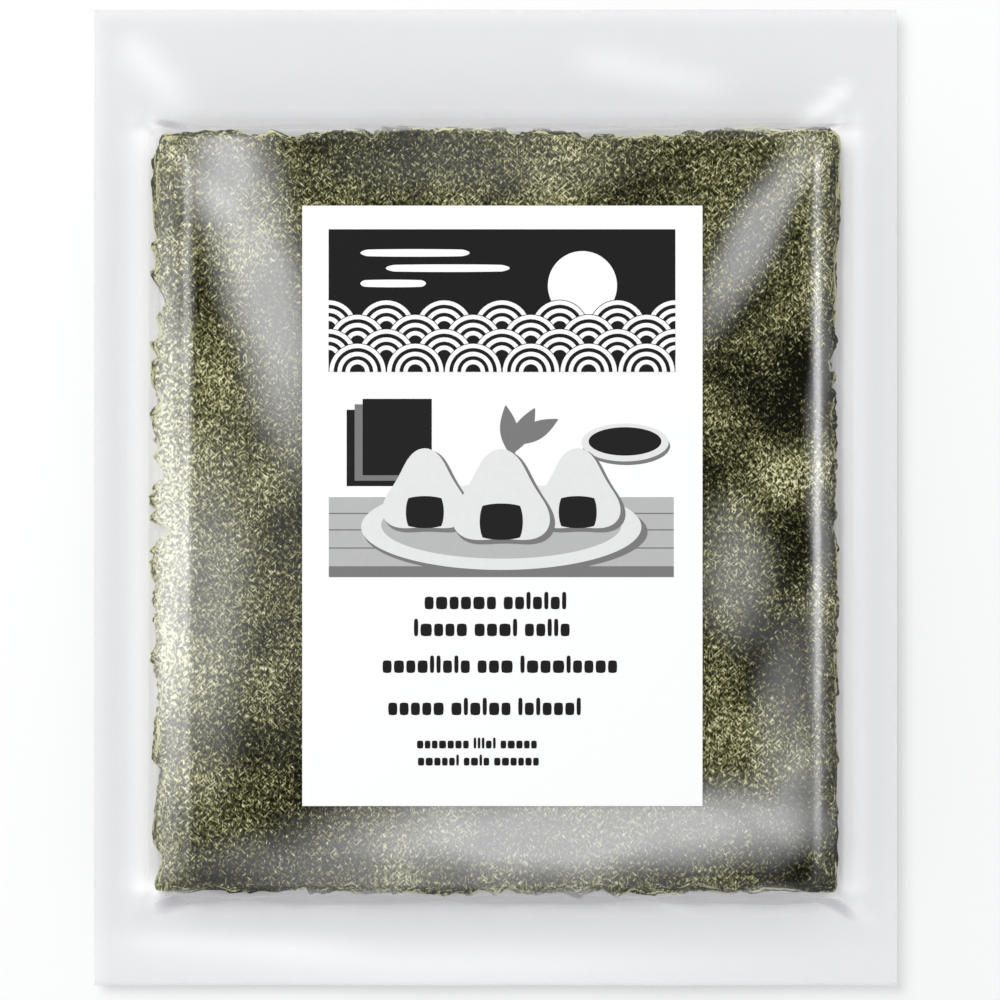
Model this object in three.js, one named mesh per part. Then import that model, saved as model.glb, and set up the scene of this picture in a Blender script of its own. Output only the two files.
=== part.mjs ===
// A sealed clear bag of nori sheets with a paper label on its front, lying on its back.
// Millimetres, +Z up. The origin is under the middle of the bag, on the surface that it lies on.
// +X runs across the bag and +Y towards its top edge, so the label reads the right way up from above.
import * as THREE from "three";
import { mergeVertices } from "three/addons/utils/BufferGeometryUtils.js";

// A full nori sheet is 190 x 210, and a hundred of them make the stack.
const SHEET_WIDTH = 190;
const SHEET_LENGTH = 210;
const STACK_HEIGHT = 18;
const STACK_CENTRE_Y = -3.9;

// The flat outline of the bag, and the sealed border where its two films meet.
const BAG_WIDTH = 223;
const BAG_LENGTH = 271;
const BORDER_THICKNESS = 0.6;
const BORDER_HEIGHT = 5.5; // where the film comes down beside the stack
const BORDER_EDGE_HEIGHT = 5; // where the border would end if it were wide
const BORDER_DROOP_REACH = 14;
const BORDER_START = 5; // distance from the stack at which the border starts
const RIPPLE_HEIGHT = 0.9;
const RIPPLE_LENGTH_X = 74;
const RIPPLE_LENGTH_Y = 88;
const RIPPLE_SLANT = 310; // the waves cross the bag a little askew

// The film over the stack: a slightly domed front that turns down at a shoulder, further in along the
// sides than along the two ends, and falls steeply just past the edge of the stack.
const FILM_GAP = 0.3;
const DOME_DROP = 1.6;
const DOME_REACH = 9;
const SIDE_INSET = 7;
const END_INSET = 0.5;
const SHOULDER_SHIFT = 1.8; // the shoulders sit a little to the right of the stack
const SIDE_ROUNDING = 2.2;
const END_ROUNDING = 1.5;
const SIDE_SLOPE = 0.62;
const END_SLOPE = 1.1;
const EDGE_START = 1.6;
const EDGE_SLOPE = 2.8;
const EDGE_ROUNDING = 0.7;
const FOOT_FILLET = 5;
const PLAN_ROUNDING = 7;

// The back film lies flat and lifts to the border around the stack.
const BACK_LIFT_START = -4;
const BACK_LIFT_LENGTH = 11;

// A fold of gathered film runs outwards from each corner of the stack.
const FOLD_HEIGHT = 0.6;
const FOLD_WIDTH = 2.8;
const FOLD_START = 4;
const FOLD_LENGTH = 17;

// The label on the front film.
const LABEL_WIDTH = 110;
const LABEL_LENGTH = 165;
const LABEL_CENTRE_X = 1.9;
const LABEL_CENTRE_Y = -2.3;
const LABEL_THICKNESS = 0.25;
const LABEL_GAP = 0.05;

const film = new THREE.MeshStandardMaterial({ color: 0x5d5e49, roughness: 0.25, metalness: 0 });
const paper = new THREE.MeshStandardMaterial({ color: 0xfbfbf9, roughness: 0.55, metalness: 0 });

const CORNERS_PER_CELL = 6;
const { lerp, smoothstep } = THREE.MathUtils;
const bell = (t) => Math.exp(-t * t);

// The greater of two values, with a parabola where they come within the blend of each other.
function smoothMax(a, b, blend) {
  return Math.max(a, b) + Math.max(blend - Math.abs(a - b), 0) ** 2 / (4 * blend);
}

// Zero before the start and the distance past it, with a rounded turn between them.
function softRamp(distance, rounding) {
  const t = distance / rounding;
  return t > 20 ? distance : rounding * Math.log1p(Math.exp(t));
}

// Distances outwards past the side and past the end of the stack.
function cornerDistances(x, y) {
  return [Math.abs(x) - SHEET_WIDTH / 2, Math.abs(y - STACK_CENTRE_Y) - SHEET_LENGTH / 2];
}

// Distance outwards from the edge of the stack, negative over the stack, with rounded corners.
function outside(x, y) {
  return smoothMax(...cornerDistances(x, y), PLAN_ROUNDING);
}

// Middle height of the sealed border: it droops away from the stack in slow waves.
function borderHeight(x, y) {
  const reach = Math.max(0, outside(x, y) - BORDER_START);
  const fall = 1 - Math.exp(-reach / BORDER_DROOP_REACH);
  const waves =
    Math.sin(2 * Math.PI * (x / RIPPLE_LENGTH_X + y / RIPPLE_SLANT)) +
    Math.sin(2 * Math.PI * (y / RIPPLE_LENGTH_Y - x / RIPPLE_SLANT));
  return BORDER_HEIGHT + fall * (BORDER_EDGE_HEIGHT - BORDER_HEIGHT + (RIPPLE_HEIGHT * waves) / 2);
}

// The ridge of gathered film that leaves each corner of the stack along the diagonal.
function cornerFold(x, y) {
  const [across, along] = cornerDistances(x, y);
  const out = (across + along) / Math.SQRT2;
  const beside = (across - along) / Math.SQRT2;
  return FOLD_HEIGHT * bell(beside / FOLD_WIDTH) * bell((out - FOLD_START) / (FOLD_LENGTH / 2));
}

// The front film: dome and shoulder over the stack, a steeper fall past its edge, then the border.
function frontHeight(x, y) {
  const [side, end] = cornerDistances(x - SHOULDER_SHIFT, y);
  const across = side + SIDE_INSET;
  const along = end + END_INSET;
  const past = smoothMax(across, along, PLAN_ROUNDING);
  const endShare = smoothstep(along - across, -PLAN_ROUNDING, PLAN_ROUNDING);
  const slope = lerp(SIDE_SLOPE, END_SLOPE, endShare);
  const rounding = lerp(SIDE_ROUNDING, END_ROUNDING, endShare);
  const dome = DOME_DROP / (1 + Math.exp(-past / DOME_REACH));
  const fall = EDGE_SLOPE * softRamp(outside(x, y) - EDGE_START, EDGE_ROUNDING);
  const over = STACK_HEIGHT + FILM_GAP - dome - slope * softRamp(past, rounding) - fall;
  return smoothMax(over, borderHeight(x, y) + BORDER_THICKNESS / 2, FOOT_FILLET) + cornerFold(x, y);
}

// The back film: flat under the stack, then lifting smoothly to the underside of the border.
function backHeight(x, y) {
  const lift = smoothstep(outside(x, y), BACK_LIFT_START, BACK_LIFT_START + BACK_LIFT_LENGTH);
  return lift * (borderHeight(x, y) - BORDER_THICKNESS / 2 + cornerFold(x, y));
}

// Lines that divide each stretch between two stops into a number of even steps.
function gridLines(stops, steps) {
  const lines = [stops[0]];
  steps.forEach((count, k) => {
    for (let i = 1; i <= count; i++) {
      lines.push(lerp(stops[k], stops[k + 1], i / count));
    }
  });
  return lines;
}

// A closed solid between two heights over a grid of x and y lines: a box whose vertices are moved.
function slab(xLines, yLines, topOf, bottomOf) {
  const xSteps = xLines.length - 1;
  const ySteps = yLines.length - 1;
  const box = new THREE.BoxGeometry(1, 1, 1, xSteps, ySteps, 1);
  const place = box.attributes.position;
  for (let i = 0; i < place.count; i++) {
    const x = xLines[Math.round((place.getX(i) + 0.5) * xSteps)];
    const y = yLines[Math.round((place.getY(i) + 0.5) * ySteps)];
    place.setXYZ(i, x, y, place.getZ(i) > 0 ? topOf(x, y) : bottomOf(x, y));
  }
  box.deleteAttribute("normal");
  box.deleteAttribute("uv");
  const closed = mergeVertices(box);
  turnDiagonals(closed);
  closed.computeVertexNormals();
  return closed;
}

// Splits each cell along the line from the middle of the stack outwards, the way its ridges run.
// A cell's two triangles come from a box as corners a, b, d and b, c, d.
function turnDiagonals(geometry) {
  const place = geometry.attributes.position;
  const corners = geometry.index.array;
  for (let k = 0; k < corners.length; k += CORNERS_PER_CELL) {
    const [a, b, d, , c] = corners.subarray(k, k + CORNERS_PER_CELL);
    const slant = (place.getX(d) - place.getX(b)) * (place.getY(d) - place.getY(b));
    const middleX = (place.getX(b) + place.getX(d)) / 2;
    const middleY = (place.getY(b) + place.getY(d)) / 2 - STACK_CENTRE_Y;
    if (slant * middleX * middleY < 0) corners.set([a, b, c, a, c, d], k);
  }
}

// Grid stops across and along the bag: border, foot of the slope, stack edge, shoulder and label.
const label = {
  left: LABEL_CENTRE_X - LABEL_WIDTH / 2,
  right: LABEL_CENTRE_X + LABEL_WIDTH / 2,
  bottom: LABEL_CENTRE_Y - LABEL_LENGTH / 2,
  top: LABEL_CENTRE_Y + LABEL_LENGTH / 2,
};
const FOOT = 6; // reach of the fall past the edge of the stack
const SHOULDER = 10; // reach of the turn inside the edge of the stack
const halfSheet = SHEET_WIDTH / 2;
const sheetBottom = STACK_CENTRE_Y - SHEET_LENGTH / 2;
const sheetTop = STACK_CENTRE_Y + SHEET_LENGTH / 2;
const labelSteps = { x: 8, y: 12 };
const xLines = gridLines(
  [
    -BAG_WIDTH / 2,
    -halfSheet - FOOT,
    -halfSheet,
    -halfSheet + SHOULDER,
    label.left,
    label.right,
    halfSheet - SHOULDER,
    halfSheet,
    halfSheet + FOOT,
    BAG_WIDTH / 2,
  ],
  [3, 6, 5, 4, labelSteps.x, 4, 5, 6, 3],
);
const yLines = gridLines(
  [
    -BAG_LENGTH / 2,
    sheetBottom - FOOT,
    sheetBottom,
    sheetBottom + SHOULDER,
    label.bottom,
    label.top,
    sheetTop - SHOULDER,
    sheetTop,
    sheetTop + FOOT,
    BAG_LENGTH / 2,
  ],
  [5, 6, 5, 3, labelSteps.y, 3, 5, 6, 6],
);

const bag = new THREE.Mesh(slab(xLines, yLines, frontHeight, backHeight), film);
bag.name = "bag";

const labelBack = (x, y) => frontHeight(x, y) + LABEL_GAP;
const labelFront = (x, y) => labelBack(x, y) + LABEL_THICKNESS;
const sticker = new THREE.Mesh(
  slab(
    gridLines([label.left, label.right], [labelSteps.x]),
    gridLines([label.bottom, label.top], [labelSteps.y]),
    labelFront,
    labelBack,
  ),
  paper,
);
sticker.name = "label";

const pack = new THREE.Group();
pack.add(bag, sticker);
export default pack;
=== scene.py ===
"""A sealed clear bag of nori sheets with a paper label on its front, lying on its back.

The film, the sheets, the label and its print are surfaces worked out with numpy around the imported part,
in metres.
"""

import math

import bpy
import numpy as np
from mathutils import Matrix, Vector


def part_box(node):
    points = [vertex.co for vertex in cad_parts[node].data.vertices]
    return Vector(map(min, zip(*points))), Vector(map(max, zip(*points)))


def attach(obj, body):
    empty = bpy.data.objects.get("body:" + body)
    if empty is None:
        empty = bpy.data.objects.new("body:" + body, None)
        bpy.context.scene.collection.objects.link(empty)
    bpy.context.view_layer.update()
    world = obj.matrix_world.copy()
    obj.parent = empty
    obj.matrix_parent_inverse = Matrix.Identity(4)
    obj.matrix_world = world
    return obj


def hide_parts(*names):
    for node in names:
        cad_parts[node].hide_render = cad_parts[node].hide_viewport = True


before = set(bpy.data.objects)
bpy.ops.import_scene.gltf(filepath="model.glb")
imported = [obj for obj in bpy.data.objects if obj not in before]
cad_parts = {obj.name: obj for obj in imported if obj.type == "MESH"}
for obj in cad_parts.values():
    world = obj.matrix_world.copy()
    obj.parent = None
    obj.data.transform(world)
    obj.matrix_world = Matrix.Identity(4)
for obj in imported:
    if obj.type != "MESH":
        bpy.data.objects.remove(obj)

bl_info = {
    "name": "Sealed Bag of Nori",
    "version": (1, 0, 0),
    "blender": (4, 5, 0),
    "location": "3D View > Sidebar > Nori",
    "description": "Builds the film, sheets, label and studio of a clear bag of nori sheets",
    "category": "Add Mesh",
}

MM = 0.001
BODY = "root"

# The bag's outline and height come from the frame.
BAG_LOW, BAG_HIGH = (np.array(corner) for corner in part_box("bag"))
LABEL_LOW, LABEL_HIGH = (np.array(corner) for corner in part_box("label"))
LABEL_MIDDLE = (LABEL_LOW + LABEL_HIGH) / 2

# The form of the film, after the solid's: the border, the dome and shoulder over the stack, the fall past
# its edge, the back, and the folds at the corners.
STACK_CENTRE_Y = -3.9 * MM
BORDER_THICKNESS = 0.6 * MM
BORDER_HEIGHT = 5.5 * MM
BORDER_EDGE_HEIGHT = 5 * MM
BORDER_DROOP_REACH = 14 * MM
BORDER_START = 5 * MM
RIPPLE_HEIGHT = 0.9 * MM
RIPPLE_LENGTH_X = 74 * MM
RIPPLE_LENGTH_Y = 88 * MM
RIPPLE_SLANT = 310 * MM
DOME_DROP = 1.6 * MM
DOME_REACH = 9 * MM
SIDE_INSET = 7 * MM
END_INSET = 0.5 * MM
SHOULDER_SHIFT = 1.8 * MM
SIDE_ROUNDING = 2.2 * MM
END_ROUNDING = 1.5 * MM
SIDE_SLOPE = 0.62
END_SLOPE = 1.1
EDGE_START = 1.6 * MM
EDGE_SLOPE = 2.8
EDGE_ROUNDING = 0.7 * MM
FOOT_FILLET = 5 * MM
PLAN_ROUNDING = 7 * MM
CORNER_ROUNDING = 2 * MM
BACK_LIFT_START = -4 * MM
BACK_LIFT_LENGTH = 11 * MM
FOLD_HEIGHT = 0.6 * MM
FOLD_WIDTH = 2.8 * MM
FOLD_START = 4 * MM
FOLD_LENGTH = 17 * MM

# Creases that the film is pulled into over the stack: both ends, height and half width, in millimetres.
# They fade out between these distances past the edge of the stack.
CREASES = (
    ((-86, 104), (-66, 12), 0.14, 7.0),
    ((83.5, 107), (64, 64), 0.08, 3.0),
)
CREASE_END = (-2 * MM, 6 * MM)

# Creases in the sealed border, given in the same way, and where they fade in.
BORDER_CREASES = (
    ((99, 115), (82, 101), 0.9, 2.4),
    ((-104, 128), (-84, 106), 0.6, 5.0),
    ((-108, -123), (-30, -126), 0.6, 4.0),
    ((92, -111), (109, -121), 0.15, 2.0),
    ((-47, 105), (-37, 99), 0.5, 1.4),
    ((38, -110), (55, -115), 0.5, 1.6),
    ((-56, -107), (-46, -114), 0.4, 1.5),
    ((20, 122), (70, 112), 0.5, 5.0),
)
BORDER_CREASE_START = (-1 * MM, 5 * MM)

# A crease rises and falls over these shares of its length. In the border it carries a painted highlight, a
# whiter tone of haze, of a share at this height.
CREASE_RISE = (-0.1, 0.25)
CREASE_FALL = (0.6, 1.1)
CREASE_HIGHLIGHT = 0.55
CREASE_HEIGHT = 0.9 * MM

# Pockets of painted shadow along the two ends of the stack: half widths at the top and the bottom, how much
# they swell, how soft their outline is, and the share of the painted grey that they take.
POCKET_TOP = 0.9 * MM
POCKET_BOTTOM = 2.1 * MM
POCKET_SWELL = 0.7
POCKET_OUTLINE = (0.3, 1.5)
POCKET_TONE = 0.46

# Tails of the pockets at the corners of the stack, painted shadow where folds shade the film: side, end,
# reach past the corner and bend, in millimetres. Then their length, how they curve, thin and spread, where
# they fade, and how much darker their painted shadow is about their middle.
TAILS = ((-1, 1, 2.5, 3.2), (1, 1, 4.0, 2.0), (-1, -1, 2.5, 4.5), (1, -1, 7.5, 7.5))
TAIL_LENGTH = 14 * MM
TAIL_CURVE = 1.5
TAIL_THINNING = 0.6
TAIL_SPREAD = 0.8
TAIL_FADE = (0.6, 1)
TAIL_DEPTH = 1.0
TAIL_MIDDLE = 0.5
TAIL_HALF = 0.25

# Puckers of the film along the top and bottom edges of the stack: place along x, length and height in
# millimetres. Then how far past the edge they lie and reach, where they end at the sides, and the scale of
# their places at the top, where they run the other way.
PUCKERS = (
    (-68, 26, 0.5),
    (-34, 18, -0.4),
    (-8, 30, 0.4),
    (24, 22, -0.4),
    (52, 24, 0.5),
    (78, 16, -0.4),
)
PUCKER_PLACE = 4 * MM
PUCKER_END = (-8 * MM, 0)
PUCKER_TOP_SCALE = -0.8

# Patches of painted glare, the lamps' reflected light drawn into the film as white haze over the sheets:
# middle, half length along y and half width along x in millimetres, turn in degrees and share of haze. Then
# how soft their outlines are and how far they waver, the most haze there is, and where it ends at the edge of
# the stack.
GLARE_PATCHES = (
    (-64, 61, 45, 11, 12, 0.31),
    (-77, 90, 14, 9, 8, 0.25),
    (-81, -32, 42, 12, 0, 0.14),
    (-90.5, -8, 84, 5, 0, 0.24),
    (89, -5, 84, 3, 0, 0.09),
    (-62, -15, 50, 14, 0, 0.03),
    (22, -91, 10, 60, 0, 0.4),
    (62, -86, 9, 15, 0, 0.12),
    (-10, -101, 9, 66, 0, 0.16),
    (79, -65, 31, 8, -4, 0.1),
    (83, -81, 12, 6, 0, 0.09),
    (72, 74, 29, 6.5, -28, 0.24),
    (66, -21, 18, 9, 6, 0.12),
    (-5, 92, 9, 40, 0, 0.05),
)
GLARE_OUTLINE = (0.3, 1.5)
GLARE_WAVER = 1.1 * MM
MOST_GLARE = 0.42
GLARE_END = (-3 * MM, 0)

# Uneven waver of the painted glare's outlines and of the pockets' widths: share, length and phase of each
# wave.
SWELLS = ((0.6, 9 * MM, 0), (0.4, 4.3 * MM, 2))

# A painted highlight, a whiter band of haze along the bottom end: distance from the cut edge, half width,
# middle and reach along it, and share.
HIGHLIGHT_PLACE = 6 * MM
HIGHLIGHT_HALF = 6 * MM
HIGHLIGHT_MIDDLE = -15 * MM
HIGHLIGHT_REACH = 80 * MM
HIGHLIGHT_SHARE = 0.42

# Painted shade along the cut edges, darkest at the bottom: its share of grey at the left, the right, the
# bottom and the top, and its width.
CUT_SHADE = (0.15, 0.2, 1.0, 0.4)
CUT_WIDTH = 1.1 * MM

# The painted highlight beside the stack, a band of whiter haze: where it starts and how far it reaches, the
# share that it loses at the two ends and at the corners and where, and the share that it adds to the haze of
# the back film.
BAND_START = 1 * MM
BAND_REACH = 5 * MM
BAND_END_LOSS = 0.6
BAND_END = (0, 6 * MM)
BAND_CORNER_LOSS = 0.75
BAND_CORNER = (-1 * MM, 3 * MM)
BAND_HAZE = 0.5

# Where the film changes, as distances past the edge of the stack: the wall of the front film turns hazy and
# ends at its foot, the back film turns hazy, the two films close up, and the film loses a share of its
# gloss.
WALL_START = (0.3 * MM, 2 * MM)
WALL_FOOT = (3.5 * MM, 6.5 * MM)
BACK_START = (-2 * MM, 0)
CLOSING = (4 * MM, 12 * MM)
DULLING = (0, 4 * MM)
DULL_SHARE = 0.85

# Haze that lets light through to its other side, as a share.
HAZE_THROUGH = 0.08

# Slow waves of the loose film: how many, their lengths and the slope of each.
WAVE_COUNT = 14
WAVE_LENGTHS = (24 * MM, 70 * MM)
WAVE_SLOPE = 0.003


def linear(hex_colour):
    """Turns an sRGB hex colour into linear red, green and blue."""
    parts = np.array([int(hex_colour[i : i + 2], 16) for i in (1, 3, 5)]) / 255
    return tuple(np.where(parts <= 0.04045, parts / 12.92, ((parts + 0.055) / 1.055) ** 2.4))


def colour_property(name, description, hex_colour):
    """A colour setting whose default is an sRGB hex value."""
    return bpy.props.FloatVectorProperty(
        name=name, description=description, subtype="COLOR", min=0, max=1, default=linear(hex_colour)
    )


def length_property(name, description, millimetres):
    """A length setting whose default is given in millimetres."""
    return bpy.props.FloatProperty(
        name=name, description=description, unit="LENGTH", precision=6, default=millimetres * MM
    )


def share_property(name, description, share):
    """A setting between 0 and 1."""
    return bpy.props.FloatProperty(name=name, description=description, default=share, min=0, max=1)


class NoriFilmSettings(bpy.types.PropertyGroup):
    """The clear film of the bag."""

    thickness: length_property("Thickness", "Thickness of one film", 0.07)
    seal_gap: length_property("Seal gap", "Space between the two films at the border", 0.05)
    crease_strength: bpy.props.FloatProperty(
        name="Crease strength", description="Scale of the creases and slow waves", default=1.0, min=0
    )
    roughness: share_property("Roughness", "Blur of the light that the film reflects", 0.22)
    ior: bpy.props.FloatProperty(name="IOR", description="Index of refraction", default=1.5, min=1)
    tint: colour_property("Tint", "Colour of light that passes through one face", "#fbfbfb")
    haze: colour_property("Haze", "White haze of the border", "#d2d2d5")
    # Painted highlight: the whiter haze tone beside the stack, along the bottom end and on the border's
    # creases.
    bright: colour_property("Bright", "Film beside the stack, which gathers light", "#fbfbfc")
    # Painted shadow: the grey of the pockets along the ends of the stack, of their tails and of the cut
    # edges.
    shade: colour_property("Shade", "Grey of film that is gathered in many layers", "#7d7d8a")
    milk: share_property("Front haze", "Share of white haze of the front film at the border", 0.22)
    wall_milk: share_property("Wall haze", "Share of white haze of the front film beside the stack", 0.24)
    back_milk: share_property("Back haze", "Share of white haze of the back film at the border", 0.62)
    # Share of haze that carries the painted shadow in the pockets.
    pocket_shadow_share: share_property("Pocket haze", "Share of grey haze where film is gathered in layers", 0.4)


class NoriSheetSettings(bpy.types.PropertyGroup):
    """The stack of roasted sheets."""

    width: length_property("Width", "Width of a full sheet", 190)
    length: length_property("Length", "Length of a full sheet", 210)
    count: bpy.props.IntProperty(name="Count", description="Sheets in the stack", default=100, min=10)
    fine_count: bpy.props.IntProperty(
        name="Fine sheets", description="Sheets at the top with a finely torn outline", default=12, min=1
    )
    gap: length_property("Gap", "Space between the outer sheets and the film", 0.4)
    dark: colour_property("Dark", "Shadowed laver between the flecks", "#0f0f07")
    olive: colour_property("Olive", "Laver itself", "#46452d")
    # Pale fibres: their own colour with painted sheen in it.
    fleck_and_sheen: colour_property("Fleck", "Thin blades and fibres that shine", "#908e5f")
    # Painted glint: the light that the brightest fibres reflect, drawn as their colour.
    painted_glint: colour_property("Glint", "The brightest fibres", "#efedc4")
    rim: colour_property("Rim", "Thin torn edge, yellower than the sheet", "#d6d3a6")


class NoriLabelSettings(bpy.types.PropertyGroup):
    """The paper label and its print."""

    thickness: length_property("Thickness", "Thickness of the paper", 0.15)
    ink_step: length_property("Ink step", "Height of one layer of print over the one below", 0.012)
    paper: colour_property("Paper", "White coated paper", "#fafafa")
    black: colour_property("Black", "Panel and text blocks", "#242424")
    dark: colour_property("Dark", "Darkest tone of the picture", "#262626")
    mid: colour_property("Mid", "Middle tone of the picture", "#7c7c7c")
    light: colour_property("Light", "Light tone of the picture", "#b9b9b9")
    pale: colour_property("Pale", "Palest tone of the picture", "#e4e4e4")


class NoriStageSettings(bpy.types.PropertyGroup):
    """The floor, the light and the camera."""

    floor_size: length_property("Floor size", "Side of the square floor", 6000)
    floor: colour_property("Floor", "White studio paper", "#f9f9f9")
    camera_height: length_property("Camera height", "Height of the camera over the floor", 1250)
    frame_width: length_property("Frame width", "Width of floor that the picture spans", 278.9)
    aim_x: length_property("Aim across", "Place of the camera across the bag", 1.25)
    aim_y: length_property("Aim along", "Place of the camera along the bag", -0.7)


def smooth_max(a, b, blend):
    """The greater of a and b, with a parabola where they come within blend of each other."""
    return np.maximum(a, b) + np.maximum(blend - np.abs(a - b), 0) ** 2 / (4 * blend)


def smooth_step(value, low, high):
    """Rises from 0 at low to 1 at high with level ends."""
    t = np.clip((value - low) / (high - low), 0, 1)
    return t * t * (3 - 2 * t)


def bell(t):
    """A bump of height 1 about zero."""
    return np.exp(-t * t)


def soft_ramp(distance, rounding):
    """0 before zero and the distance itself past it, with a rounded turn between them."""
    return rounding * np.logaddexp(0, distance / rounding)


def corner_distances(x, y, sheets):
    """Distances outwards past the side and past the end of the stack."""
    return np.abs(x) - sheets.width / 2, np.abs(y - STACK_CENTRE_Y) - sheets.length / 2


def outside(x, y, sheets, rounding=PLAN_ROUNDING):
    """Distance outwards from the edge of the stack, negative over it, with rounded corners."""
    across, along = corner_distances(x, y, sheets)
    return smooth_max(across, along, rounding)


def border_height(x, y, sheets):
    """Middle height of the sealed border: it droops away from the stack in slow waves."""
    reach = np.maximum(0, outside(x, y, sheets) - BORDER_START)
    fall = 1 - np.exp(-reach / BORDER_DROOP_REACH)
    waves = np.sin(2 * np.pi * (x / RIPPLE_LENGTH_X + y / RIPPLE_SLANT))
    waves = waves + np.sin(2 * np.pi * (y / RIPPLE_LENGTH_Y - x / RIPPLE_SLANT))
    return BORDER_HEIGHT + fall * (BORDER_EDGE_HEIGHT - BORDER_HEIGHT + RIPPLE_HEIGHT * waves / 2)


def corner_fold(x, y, sheets):
    """The ridge of gathered film that leaves each corner of the stack along the diagonal."""
    across, along = corner_distances(x, y, sheets)
    out = (across + along) / math.sqrt(2)
    beside = (across - along) / math.sqrt(2)
    return FOLD_HEIGHT * bell(beside / FOLD_WIDTH) * bell((out - FOLD_START) / (FOLD_LENGTH / 2))


def past_shoulder(x, y, sheets):
    """Distance outwards past the shoulder of the front film, and the share of its ends against its sides."""
    across, along = corner_distances(x - SHOULDER_SHIFT, y, sheets)
    across, along = across + SIDE_INSET, along + END_INSET
    end = smooth_step(along - across, -PLAN_ROUNDING, PLAN_ROUNDING)
    return smooth_max(across, along, PLAN_ROUNDING), end


def front_height(x, y, sheets):
    """Height of the front film: dome and shoulder over the stack, a steeper fall past it, then the border."""
    past, end = past_shoulder(x, y, sheets)
    slope = SIDE_SLOPE + (END_SLOPE - SIDE_SLOPE) * end
    rounding = SIDE_ROUNDING + (END_ROUNDING - SIDE_ROUNDING) * end
    dome = DOME_DROP / (1 + np.exp(-past / DOME_REACH))
    beyond = outside(x, y, sheets) - EDGE_START
    turn = slope * soft_ramp(past, rounding) + EDGE_SLOPE * soft_ramp(beyond, EDGE_ROUNDING)
    over = BAG_HIGH[2] - dome - turn
    border = border_height(x, y, sheets) + BORDER_THICKNESS / 2
    return smooth_max(over, border, FOOT_FILLET) + corner_fold(x, y, sheets)


def back_height(x, y, sheets):
    """Height of the back film: flat under the stack, then lifting to the underside of the border."""
    lift = smooth_step(outside(x, y, sheets), BACK_LIFT_START, BACK_LIFT_START + BACK_LIFT_LENGTH)
    return lift * (border_height(x, y, sheets) - BORDER_THICKNESS / 2 + corner_fold(x, y, sheets))


def creases(x, y, lines):
    """Sum of straight ridges, each a bell across its line that fades towards its ends."""
    total = np.zeros_like(x)
    for start, end, height, half_width in lines:
        start, end = np.array(start) * MM, np.array(end) * MM
        run = end - start
        length = np.hypot(*run)
        along = ((x - start[0]) * run[0] + (y - start[1]) * run[1]) / length**2
        beside = ((x - start[0]) * run[1] - (y - start[1]) * run[0]) / length
        fade = smooth_step(along, *CREASE_RISE) * (1 - smooth_step(along, *CREASE_FALL))
        total += height * MM * fade * bell(beside / (half_width * MM))
    return total


def puckers(x, y, sheets):
    """Scallops of the film where it comes down past the top and bottom edges of the stack."""
    across, along = corner_distances(x, y, sheets)
    foot = bell((along - PUCKER_PLACE) / PUCKER_PLACE) * (1 - smooth_step(across, *PUCKER_END))
    total = np.zeros_like(x)
    for place, length, height in PUCKERS:
        place = place * MM * np.where(y < 0, 1, PUCKER_TOP_SCALE)
        total += height * MM * bell((x - place) / (length * MM / 2))
    return total * foot


def swell(x):
    """Uneven rise and fall along an end of the stack, between about -1 and 1: a sum of sines."""
    return sum(share * np.sin(x / length + phase) for share, length, phase in SWELLS)


def pocket_shadow(x, y, sheets):
    """Share of painted shadow in the pockets along the two ends of the stack, above 1 in the darker painted
    shadow of their tails.

    Each pocket is a band that follows the end of the stack, bends away from it past the corners and thins
    out.
    """
    across, along = corner_distances(x, y, sheets)
    upper = y > STACK_CENTRE_Y
    reach, bend = np.zeros_like(x), np.zeros_like(x)
    for side, end, tail_reach, tail_bend in TAILS:
        here = (x * side > 0) & (upper == (end > 0))
        reach, bend = np.where(here, tail_reach * MM, reach), np.where(here, tail_bend * MM, bend)
    tail = np.clip((across - reach) / TAIL_LENGTH + 1, 0, 1)
    half = np.where(upper, POCKET_TOP, POCKET_BOTTOM)
    middle = half + bend * tail**TAIL_CURVE
    half = half * (1 + POCKET_SWELL * swell(x)) * (1 - TAIL_THINNING * tail)
    half = half + TAIL_SPREAD * bend * tail * (1 - tail)
    share = 1 - smooth_step(np.abs(along - middle) / half, *POCKET_OUTLINE)
    darker = 1 + TAIL_DEPTH * bell((tail - TAIL_MIDDLE) / TAIL_HALF)
    return share * (1 - smooth_step(tail, *TAIL_FADE)) * darker


def bottom_highlight(x, y):
    """Share of painted highlight along the bottom end: a bell across it that fades towards its ends."""
    across = bell((y - BAG_LOW[1] - HIGHLIGHT_PLACE) / HIGHLIGHT_HALF)
    return HIGHLIGHT_SHARE * across * bell((x - HIGHLIGHT_MIDDLE) / HIGHLIGHT_REACH)


def cut_edge_shade(x, y):
    """Share of painted shade at the cut edges of the film, which fades inwards."""
    inwards = (x - BAG_LOW[0], BAG_HIGH[0] - x, y - BAG_LOW[1], BAG_HIGH[1] - y)
    greys = [grey * (1 - smooth_step(depth, 0, CUT_WIDTH)) for grey, depth in zip(CUT_SHADE, inwards)]
    return np.maximum.reduce(greys)


def painted_highlight_band(x, y, sheets):
    """Share of painted highlight in the film beside the stack: a bell outwards, weaker at the ends and
    corners.
    """
    across, along = corner_distances(x, y, sheets)
    out = np.maximum(outside(x, y, sheets, CORNER_ROUNDING) - BAND_START, 0)
    ends = 1 - BAND_END_LOSS * smooth_step(along - across, *BAND_END)
    corners = 1 - BAND_CORNER_LOSS * smooth_step(np.minimum(across, along), *BAND_CORNER)
    return bell(out / BAND_REACH) * ends * corners


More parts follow.
